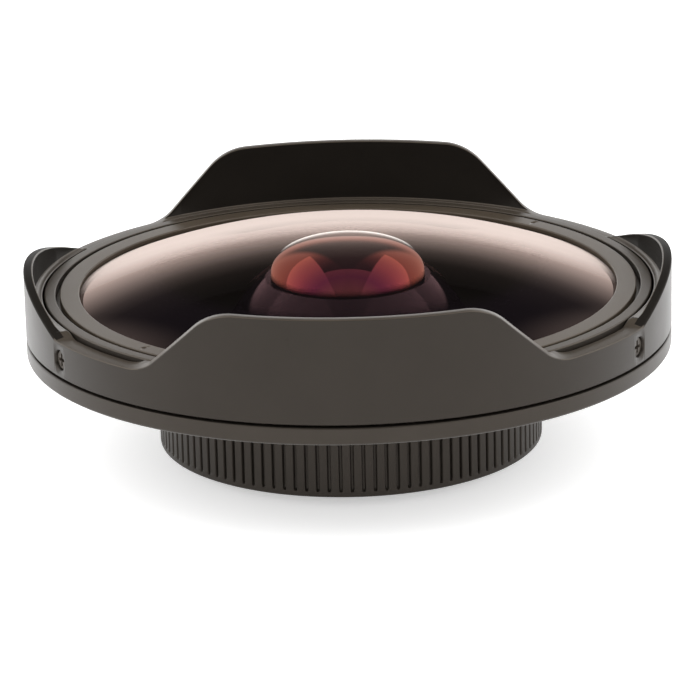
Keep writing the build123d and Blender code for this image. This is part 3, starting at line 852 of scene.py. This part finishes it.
def make_grip(material):
    """Straight knurl: flat ribs between narrow grooves that run out before both ends."""
    outer = GRIP_HIGH.x
    bore = outer - 1.38 * MM
    low = GRIP_LOW.z
    high = GRIP_HIGH.z
    bore_edge = 0.1 * MM
    edge = 0.4 * MM
    depth = 0.45 * MM
    band = 0.8 * MM
    ribs = 108
    pitch = 2 * pi / ribs
    split_angle = 32
    # Place across a rib and its groove, in pitches, and how deep the groove is there
    groove_form = (
        (-0.5, 0),
        (-0.19, 0),
        (-0.16, 0.08),
        (-0.13, 0.3),
        (-0.08, 1),
        (0.08, 1),
        (0.13, 0.3),
        (0.16, 0.08),
        (0.19, 0),
    )
    # Depth of the groove at its end, and how far along it that is
    run_out = (
        (0.0, 0.0),
        (0.5, 0.12 * MM),
        (0.8, 0.25 * MM),
        (0.95, 0.4 * MM),
        (1.0, 0.55 * MM),
    )
    columns = []
    for rib in range(ribs):
        for share, sunk in groove_form:
            columns.append(((rib + share) * pitch, sunk * depth))

    def ring(r, z, painted_shade_fade=0.0):
        """Row of points round the ring, with the grooves as deep as the fade says."""
        return [spin((r - sunk * painted_shade_fade, z), angle) for angle, sunk in columns]

    rows = [ring(bore, low + bore_edge), ring(bore + bore_edge, low)]
    for sine, cosine in quarter_turn(5):
        rows.append(ring(outer - edge * (1 - sine), low + edge * (1 - cosine)))
    for painted_shade_fade, rise in run_out:
        rows.append(ring(outer, low + band + rise, painted_shade_fade))
    for painted_shade_fade, rise in reversed(run_out):
        rows.append(ring(outer, high - band - rise, painted_shade_fade))
    for sine, cosine in quarter_turn(5):
        rows.append(ring(outer - edge * (1 - cosine), high - edge * (1 - sine)))
    rows += [ring(bore + bore_edge, high), ring(bore, high - bore_edge)]
    grip = grid("grip_ring", rows)
    sharp_edges(grip, split_angle)
    finish_piece(grip, "rear_group", "grip_black", [material], "knurled_grip_ring")


def make_cell(material):
    """Rear cell: tube, flange and screwed front part."""
    tube_r = 19.85 * MM
    bore = 18.1 * MM
    shoulder = THREAD_HIGH.z + 2.56 * MM
    thread_r = 22.35 * MM
    lip_z = CELL_HIGH.z - 0.75 * MM
    lip_r = 16.8 * MM
    profile = rounded(
        [
            (bore, CELL_LOW.z, FINE),
            (tube_r, CELL_LOW.z, BROKEN),
            (tube_r, THREAD_HIGH.z, BROKEN),
            (CELL_HIGH.x, THREAD_HIGH.z, BROKEN),
            (CELL_HIGH.x, shoulder, LIGHT),
            (thread_r, shoulder, FINE),
            (thread_r, CELL_HIGH.z, SOFT),
            (lip_r, CELL_HIGH.z, ROUND),
            (lip_r, lip_z, BROKEN),
            (bore, lip_z, BROKEN),
        ]
    )
    cell = lathe("rear_cell_turned", profile)
    even_normals(cell)
    finish_piece(cell, "rear_group", "barrel_black", [material], "rear_cell")


def make_thread(material):
    """Male filter thread as a true helix, with a chamfered start and a relief behind."""
    bore = 19.9 * MM
    outer = THREAD_HIGH.x
    root = outer - 0.42 * MM
    pitch = 0.75 * MM
    chamfer = 0.3 * MM
    start = THREAD_LOW.z
    relief = THREAD_HIGH.z - 0.6 * MM
    turns = int(THREAD_HIGH.z / pitch) + 2
    columns = 240
    weld = 1e-6
    split_angle = 30
    # Place along the axis, in pitches, and the radius there
    thread_form = ((0.0, outer), (0.2, outer), (0.55, root), (0.65, root))
    points = [(k + share, r) for k in range(-1, turns) for share, r in thread_form]

    def radius_at(height_share):
        """Radius of the thread form at a height in pitches."""
        share = height_share % 1.0
        for (low, r_low), (high, r_high) in zip(thread_form, thread_form[1:] + ((1.0, outer),)):
            if low <= share <= high:
                return r_low + (r_high - r_low) * (share - low) / (high - low)
        return outer

    def ring(radii, z):
        """Row of points round the axis at one height, the last over the first."""
        return [spin((r, z), 2 * pi * j / columns) for j, r in enumerate(radii)]

    helix = [[] for _ in points]
    for j in range(columns + 1):
        advance = j / columns
        for line, (height, r) in zip(helix, points):
            z = start + (height + advance) * pitch
            if z < start:
                z = start
                r = radius_at(-advance)
            if z > relief:
                z = relief
                r = root
            r = min(r, outer - chamfer + (z - start))
            line.append(spin((r, z), 2 * pi * advance))
    start_radii = [min(radius_at(-j / columns), outer - chamfer) for j in range(columns + 1)]
    body = [
        ring([root] * (columns + 1), relief),
        ring([root] * (columns + 1), THREAD_HIGH.z),
        ring([bore] * (columns + 1), THREAD_HIGH.z),
        ring([bore] * (columns + 1), start),
        ring(start_radii, start),
    ]
    build = bmesh.new()
    for rows in (helix, body):
        lines = [[build.verts.new(point) for point in row] for row in rows]
        for low, high in zip(lines, lines[1:]):
            bridge(build, low, high, columns)
    thread = welded("filter_thread", build, weld)
    sharp_edges(thread, split_angle)
    finish_piece(thread, "rear_group", "thread_black", [material], "filter_thread_ring")


# Stage
def make_floor():
    """Plain white sweep that the lens stands on."""
    cloud_scale = 3.0
    dark = (0.93, 0.93, 0.93)
    light = (0.95, 0.95, 0.95)
    n = new_material("floor_white")
    cloud = n.noise(n.place(), cloud_scale)
    paper = n.first(
        "BsdfPrincipled",
        {
            "Base Color": n.ramp(cloud, ((NOISE_LOW, dark), (NOISE_HIGH, light))),
            "Roughness": 0.9,
            "Specular IOR Level": 0.1,
            "Emission Color": (1, 1, 1, 1),
            "Emission Strength": 0.45,
        },
    )
    build = bmesh.new()
    bmesh.ops.create_circle(build, cap_ends=True, segments=128, radius=3.0)
    floor = from_build("floor", build)
    floor.data.materials.append(n.surface(paper))


def make_panel(name, place, turn, size, power):
    """Soft ceiling panel that shines straight down, turned about the vertical."""
    data = bpy.data.lights.new(name, "AREA")
    data.shape = "RECTANGLE"
    data.size, data.size_y = size
    data.energy = power
    panel = bpy.data.objects.new(name, data)
    panel.location = place
    panel.rotation_euler = (0, 0, turn)
    scene.collection.objects.link(panel)


def make_world():
    """Studio surroundings: white near the floor, dark overhead behind and in front, white at the sides."""
    n = Nodes(bpy.data.worlds.new("studio"), "OutputWorld")
    sky = n.add("TexCoord").outputs["Generated"]
    height = n.part(sky, "Z")
    level = n.first("CombineXYZ", {"X": n.part(sky, "X"), "Y": n.part(sky, "Y")})
    compass = n.first("VectorMath", {0: level}, operation="NORMALIZE")
    sideways = n.maths("ABSOLUTE", n.part(compass, "X"))
    share = n.span(sideways, sin(radians(SIDE_START)), sin(radians(SIDE_START + SIDE_BLEND)))
    colours = []
    for stops in (MIDDLE_SKY, SIDE_SKY):
        greys = [(sin(radians(elevation)), (light,) * 3) for elevation, light in stops]
        colours.append(n.ramp(height, greys))
    colour = n.first("MixRGB", {"Fac": share, "Color1": colours[0], "Color2": colours[1]})
    scene.world = n.surface(n.first("Background", {"Color": colour, "Strength": SKY_STRENGTH}))


make_camera()
make_world()
make_floor()
for side, name in ((-1, "left_light"), (1, "right_light")):
    place = (PANEL_OFFSET * side, PANEL_Y, PANEL_HEIGHT)
    make_panel(name, place, -side * PANEL_TURN, PANEL_SIZE, PANEL_POWER)
make_panel("front_light", FRONT_LIGHT_PLACE, 0, FRONT_LIGHT_SIZE, FRONT_LIGHT_POWER)

scene.view_settings.view_transform = "Standard"
scene.cycles.use_denoising = True

# Finishes, with the level as linear light
hood_metal = turned_metal("hood_anodised", level=0.009, roughness=0.33, line_axis="both")
barrel_metal = turned_metal("barrel_anodised", level=0.016, roughness=0.34, line_axis="both")
ring_metal = turned_metal(
    "ring_anodised", level=0.042, roughness=0.34, line_axis="r", lines=12000.0, warmth=0.28
)
# Lighter copy of the metal: painted highlight on the upward faces of the hood and on the barrel's top band
painted_highlight_metal = turned_metal("painted_highlight_anodised", level=0.034, roughness=0.34, line_axis="both", warmth=0.24)
# Darker copy of the hood metal: painted shade on the hood's inner wall and the side petals' cut faces
painted_shade_metal = turned_metal("painted_shade_anodised", level=0.006, roughness=0.5, line_axis="both", shine=0.08)
grip_metal = turned_metal("grip_anodised", level=0.012, roughness=0.45, line_axis="z")
thread_metal = turned_metal("thread_anodised", level=0.022, roughness=0.4, line_axis="z")
screw_metal = turned_metal("screw_oxide", level=0.03, roughness=0.35, line_axis="z")
edge_paint = matt_black("edge_paint", level=0.003, roughness=0.7, shine=0.05)
baffle_paint = matt_black("baffle_paint", level=0.003, roughness=0.75, shine=0.05)
rubber = matt_black("rubber", level=0.015, roughness=0.7)
washer_plastic = matt_black("washer_plastic", level=0.06, roughness=0.4)
front_glass = coated_glass(
    "front_glass",
    ((0.45, (0.3, 0.21, 0.18)), (0.65, (1.0, 0.75, 0.66)), (1.0, (1.0, 0.8, 0.72))),
    strength=0.85,
    # pale colour of the painted reflection along the dome's edge
    painted_reflection=(0.57, 0.48, 0.44),
    window=(24.0 * MM, 28.0 * MM),
)
bowl_glass = coated_glass(
    "bowl_glass",
    ((0.0, (0.8, 0.1, 0.3)), (1.0, (1.0, 0.3, 0.45))),
    strength=0.06,
)
inner_glass = dark_glass(
    "inner_glass",
    ((0.0, (0.7, 0.35, 0.4)), (1.0, (0.28, 0.18, 0.18))),
    gloss_index=1.3,
    # painted shade: the flank's reflection darkens away below these heights
    painted_shade_fade=(19.5 * MM, 23.4 * MM),
)
rear_glass = dark_glass(
    "rear_glass",
    ((0.0, (0.3, 0.8, 0.4)), (1.0, (0.9, 0.6, 0.9))),
    gloss_index=1.45,
)
lens_coating = dark_glass(
    "lens_coating",
    (
        (0.1, (0.75, 0.2, 0.18)),
        (0.2, (0.5, 0.07, 0.16)),
        (0.3, (0.85, 0.14, 0.16)),
        (0.45, (0.95, 0.22, 0.15)),
        (0.65, (0.8, 0.27, 0.19)),
        (0.85, (0.36, 0.25, 0.22)),
    ),
    gloss_index=2.0,
    bulge=13.7 * MM,
    # pale colour of the painted highlight along the upper edge
    painted_rim_highlight=(0.95, 0.92, 0.88),
    # painted shade: the cap's reflection darkens away below these heights
    painted_shade_fade=(24.0 * MM, 25.2 * MM),
)

make_hood(hood_metal, painted_shade_metal, painted_highlight_metal)
make_screws(screw_metal)
make_barrel(barrel_metal, painted_highlight_metal)
make_front_ring(ring_metal)
make_front_element(front_glass, bowl_glass, edge_paint)
make_second_element(lens_coating, inner_glass, edge_paint)
make_grip(grip_metal)
make_cell(barrel_metal)
make_thread(thread_metal)

# Nodes that keep their CAD shape
CAD_FINISH = {
    "front_seal_ring": rubber,
    "light_baffle": baffle_paint,
    "second_seal_ring": rubber,
    "second_retaining_ring": edge_paint,
    "slip_washer": washer_plastic,
    "rear_crown_element": rear_glass,
    "rear_flint_element": rear_glass,
    "element_spacer": edge_paint,
    "aperture_stop": baffle_paint,
    "rear_element": rear_glass,
    "rear_seal_ring": rubber,
    "rear_retaining_ring": ring_metal,
}
for name, material in CAD_FINISH.items():
    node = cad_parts[name]
    node.data.materials.clear()
    node.data.materials.append(material)
